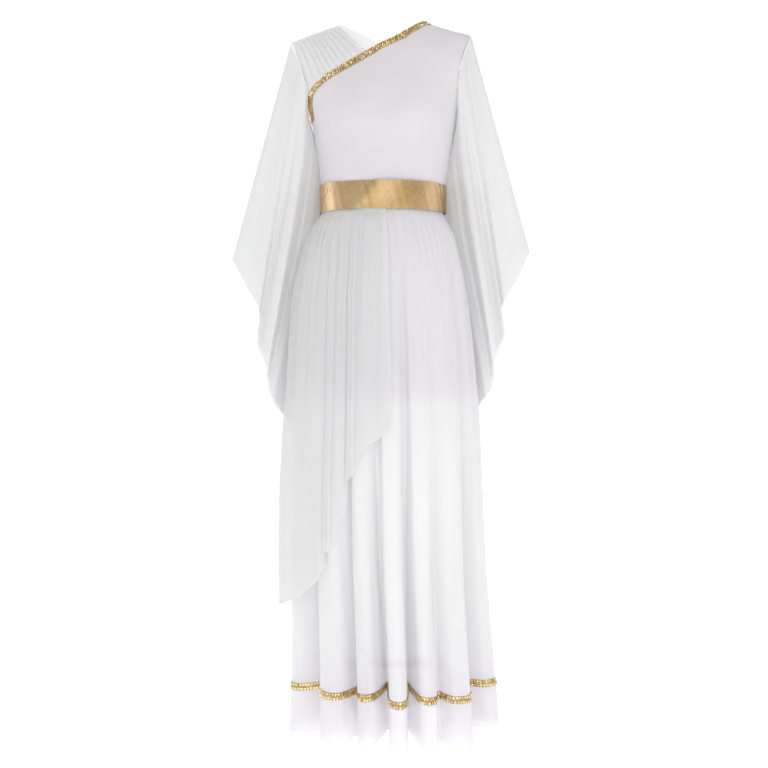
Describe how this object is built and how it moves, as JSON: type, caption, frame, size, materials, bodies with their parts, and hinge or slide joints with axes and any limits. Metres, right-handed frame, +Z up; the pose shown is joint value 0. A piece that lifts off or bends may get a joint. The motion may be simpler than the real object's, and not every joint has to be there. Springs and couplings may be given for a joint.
{
  "type": "greek goddess costume",
  "caption": "Long white goddess dress, filled out as if worn: slanted neck with gold braid, pleated shoulder drape, sheer hanging sleeves, gold belt, gathered skirt and half overlay",
  "frame": {"origin": "midway between the two shoulder seams, at their height, where the wearer's shoulders carry the dress", "axes": "+Z up along the dress, its front faces -Y, the wearer's left is +X"},
  "size_m": [0.598, 0.3948, 1.4174],
  "materials": {
    "chiffon": "sheer matt crepe chiffon",
    "jersey": "smooth matt stretch jersey",
    "lining": "smooth lining jersey",
    "gold_foil": "metallic foil printed on stretch cloth, lightly creased",
    "gold_braid": "gold sequins and beads on a narrow band"
  },
  "bodies": {
    "root": {"bodice_front": "jersey", "bodice_back": "jersey", "neckline_trim_front": "gold_braid", "neckline_trim_back": "gold_braid", "shoulder_drape_front": "chiffon", "shoulder_drape_back": "chiffon", "belt": "gold_foil", "skirt_front": "chiffon", "skirt_back": "chiffon", "hem_trim_front": "gold_braid", "hem_trim_back": "gold_braid", "lining_front": "lining", "lining_back": "lining", "overlay_front": "chiffon", "overlay_back": "chiffon", "sleeve_right": "chiffon", "sleeve_left": "chiffon"}
  },
  "joints": []
}
